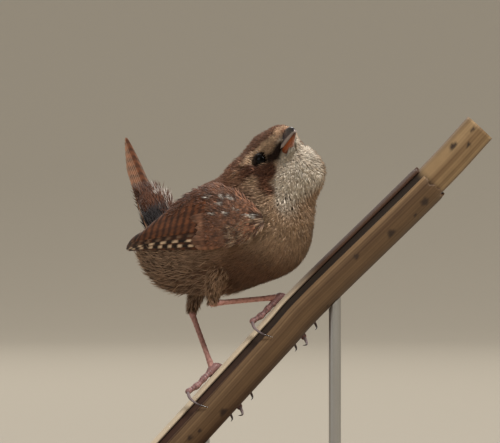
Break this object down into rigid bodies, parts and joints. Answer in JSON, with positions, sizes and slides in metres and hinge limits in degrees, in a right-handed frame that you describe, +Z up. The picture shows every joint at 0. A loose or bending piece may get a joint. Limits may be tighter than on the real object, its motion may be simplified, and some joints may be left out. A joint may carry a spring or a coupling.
{
  "type": "wren",
  "caption": "Life-size still model of a small round brown songbird with a cocked tail, gripping a slanted cut reed that rods hold over a round base.",
  "frame": {"origin": "middle of the underside of the round base", "axes": "+Z up; +X to the right as the bird is seen from its near (right) side, towards the high end of the reed; +Y away from that viewer"},
  "size_m": [0.102, 0.086, 0.0996],
  "materials": {
    "plumage": "soft matt body feathers, brown above and buff below, finely barred",
    "flight_feathers": "smooth rufous brown flight feathers with dark bars",
    "eye": "wet glossy near-black",
    "bill": "smooth horn, dark above and orange-brown below",
    "leg": "satin scaled skin, pinkish brown",
    "claw": "smooth grey-brown horn",
    "reed_culm": "dry cane, matt with fine grain",
    "reed_sheath": "dry papery leaf sheath with fine lengthwise veins and dark spots",
    "stand_wood": "turned dark wood, satin lacquer",
    "stand_metal": "drawn rod, satin"
  },
  "bodies": {
    "root": {"head": "plumage", "neck": "plumage", "trunk": "plumage", "tail": "flight_feathers", "wing_right": "flight_feathers", "wing_left": "flight_feathers", "eye_right": "eye", "eye_left": "eye", "bill_upper": "bill", "bill_lower": "bill", "thigh_right": "plumage", "thigh_left": "plumage", "tarsus_right": "leg", "tarsus_left": "leg", "foot_right": "leg", "foot_left": "leg", "claw_right_hallux": "claw", "claw_right_inner": "claw", "claw_right_middle": "claw", "claw_right_outer": "claw", "claw_left_hallux": "claw", "claw_left_inner": "claw", "claw_left_middle": "claw", "claw_left_outer": "claw", "perch_culm": "reed_culm", "perch_sheath": "reed_sheath", "stand_base": "stand_wood", "stand_rod_low": "stand_metal", "stand_rod_high": "stand_metal"}
  },
  "joints": []
}
